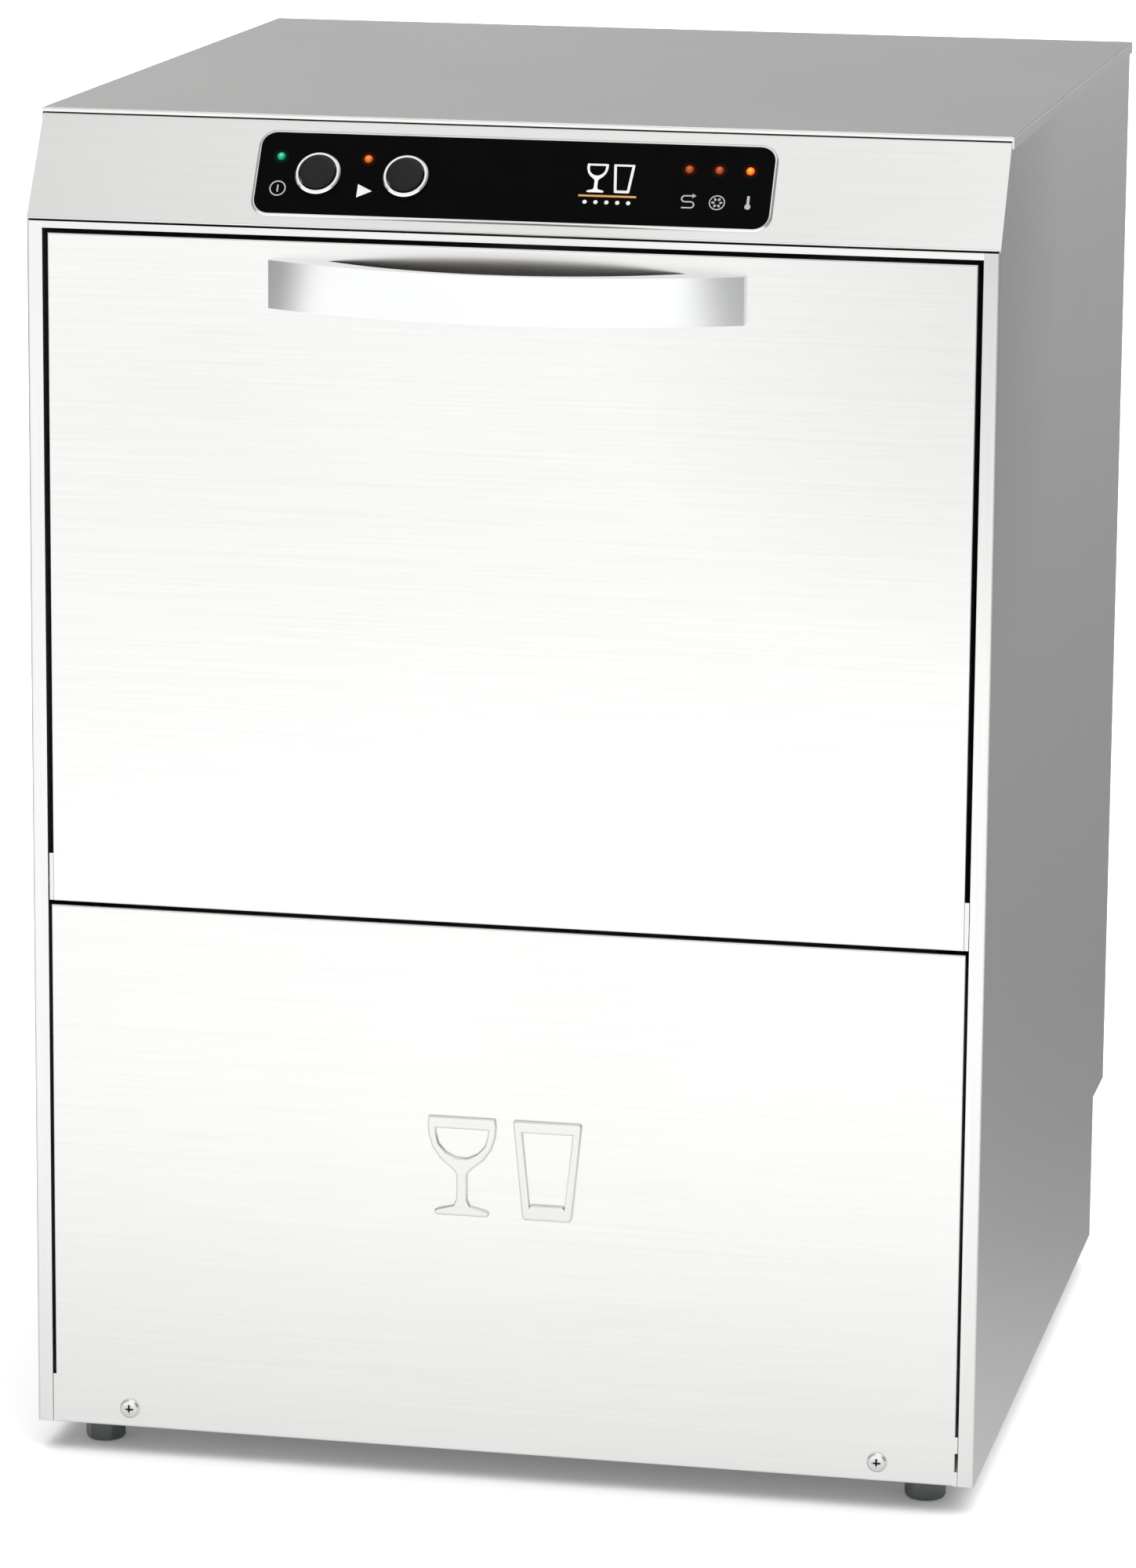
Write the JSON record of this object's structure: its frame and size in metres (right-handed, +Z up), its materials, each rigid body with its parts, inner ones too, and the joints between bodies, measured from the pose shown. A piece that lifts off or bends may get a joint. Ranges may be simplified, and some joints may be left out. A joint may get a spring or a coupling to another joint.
{
  "type": "undercounter glass washer",
  "caption": "Front-loading undercounter glass washer in stainless sheet: drop-down door with a bow handle, sloping control fascia, wash chamber with spray arms, and levelling feet.",
  "frame": {"origin": "under the middle of the overall box, on the plane that the feet stand on", "axes": "+Z up, the door and controls face -Y, +X to the right as seen from the front"},
  "size_m": [0.5774, 0.645, 0.815],
  "materials": {
    "stainless_sheet": "fine brushed, bright",
    "stainless_inner": "satin 2B sheet",
    "stainless_bar": "turned and polished",
    "aluminium": "brushed and clear anodised",
    "overlay_black": "glossy black overlay",
    "bezel_chrome": "satin chrome",
    "cap_black": "matt black",
    "lamp_lens": "clear tinted lens",
    "board_green": "solder mask",
    "seal_rubber": "black EPDM",
    "foot_plastic": "dark grey moulded",
    "pipe_plastic": "grey polypropylene",
    "pump_plastic": "glass-filled black",
    "magnet_iron": "plain iron",
    "heater_sheath": "heat-tinted sheath",
    "fitting_brass": "plain brass"
  },
  "bodies": {
    "chassis": {"arm_nuts": "stainless_bar", "arm_spindles": "stainless_bar", "back_panel": "stainless_inner", "back_panel_screws": "stainless_bar", "base_tray": "stainless_inner", "boiler": "stainless_inner", "boiler_cradles": "stainless_inner", "boiler_element": "heater_sheath", "button_bezels": "bezel_chrome", "cable_gland": "cap_black", "control_board": "board_green", "control_panel": "stainless_sheet", "door_switch": "cap_black", "drain_pump": "pump_plastic", "fascia_overlay": "overlay_black", "foot_nuts": "stainless_bar", "front_header": "stainless_sheet", "front_panel_screws": "stainless_bar", "hinge_brackets": "stainless_inner", "hinge_pins": "stainless_bar", "indicator_lenses": "lamp_lens", "inlet_valve": "fitting_brass", "left_side_panel": "stainless_sheet", "lower_front_panel": "stainless_sheet", "rack_rails": "stainless_inner", "right_side_panel": "stainless_sheet", "rinse_aid_pump": "pump_plastic", "rinse_pipe": "pipe_plastic", "service_plate": "stainless_inner", "suction_pipe": "pipe_plastic", "sump_strainer": "stainless_inner", "switch_blocks": "cap_black", "tank_element": "heater_sheath", "tank_filter": "stainless_inner", "top_lid": "stainless_sheet", "wash_pump": "pump_plastic", "wash_riser": "pipe_plastic", "wash_tank": "stainless_inner", "wash_tub": "stainless_inner"},
    "door": {"door_outer_skin": "stainless_sheet", "door_inner_liner": "stainless_inner", "door_seal": "seal_rubber", "door_handle": "aluminium", "handle_bolts": "stainless_bar", "hinge_arm_left": "stainless_bar", "hinge_arm_right": "stainless_bar", "door_springs": "stainless_inner", "door_magnet": "magnet_iron"},
    "power_button": {"power_button": "cap_black"},
    "start_button": {"start_button": "cap_black"},
    "lower_wash_arm": {"lower_wash_arm": "stainless_bar"},
    "lower_rinse_arm": {"lower_rinse_arm": "stainless_bar"},
    "upper_wash_arm": {"upper_wash_arm": "stainless_bar"},
    "upper_rinse_arm": {"upper_rinse_arm": "stainless_bar"},
    "pump_rotor": {"pump_rotor": "magnet_iron"},
    "overflow_pipe": {"overflow_pipe": "pipe_plastic"},
    "front_left_foot": {"front_left_foot": "foot_plastic"},
    "front_right_foot": {"front_right_foot": "foot_plastic"},
    "rear_left_foot": {"rear_left_foot": "foot_plastic"},
    "rear_right_foot": {"rear_right_foot": "foot_plastic"}
  },
  "joints": [
    {"name": "door_hinge", "type": "hinge", "parent": "chassis", "child": "door", "pos_m": [0, -0.2715, 0.355], "axis": [1, 0, 0], "range_deg": [0, 90], "stiffness_Nm_per_rad": 3.5, "springref_deg": -22.92},
    {"name": "power_button_push", "type": "slide", "parent": "chassis", "child": "power_button", "axis": [0, 0.8378, -0.546], "range_m": [0, 0.0025], "stiffness_N_per_m": 1000, "springref_m": -0.001},
    {"name": "start_button_push", "type": "slide", "parent": "chassis", "child": "start_button", "axis": [0, 0.8378, -0.546], "range_m": [0, 0.0025], "stiffness_N_per_m": 1000, "springref_m": -0.001},
    {"name": "lower_wash_arm_spin", "type": "hinge", "parent": "chassis", "child": "lower_wash_arm", "pos_m": [0, 0.0127, 0.35], "axis": [0, 0, 1], "continuous": true},
    {"name": "lower_rinse_arm_spin", "type": "hinge", "parent": "chassis", "child": "lower_rinse_arm", "pos_m": [0, 0.0127, 0.35], "axis": [0, 0, 1], "continuous": true},
    {"name": "upper_wash_arm_spin", "type": "hinge", "parent": "chassis", "child": "upper_wash_arm", "pos_m": [0, 0.0127, 0.71], "axis": [0, 0, 1], "continuous": true},
    {"name": "upper_rinse_arm_spin", "type": "hinge", "parent": "chassis", "child": "upper_rinse_arm", "pos_m": [0, 0.0127, 0.71], "axis": [0, 0, 1], "continuous": true},
    {"name": "pump_rotor_spin", "type": "hinge", "parent": "chassis", "child": "pump_rotor", "pos_m": [0.06, -0.06, 0.125], "axis": [1, 0, 0], "continuous": true},
    {"name": "overflow_pipe_lift", "type": "slide", "parent": "chassis", "child": "overflow_pipe", "axis": [0, 0, 1], "range_m": [0, 0.08]},
    {"name": "front_left_foot_height", "type": "slide", "parent": "chassis", "child": "front_left_foot", "axis": [0, 0, -1], "range_m": [0, 0.02]},
    {"name": "front_right_foot_height", "type": "slide", "parent": "chassis", "child": "front_right_foot", "axis": [0, 0, -1], "range_m": [0, 0.02]},
    {"name": "rear_left_foot_height", "type": "slide", "parent": "chassis", "child": "rear_left_foot", "axis": [0, 0, -1], "range_m": [0, 0.02]},
    {"name": "rear_right_foot_height", "type": "slide", "parent": "chassis", "child": "rear_right_foot", "axis": [0, 0, -1], "range_m": [0, 0.02]}
  ]
}
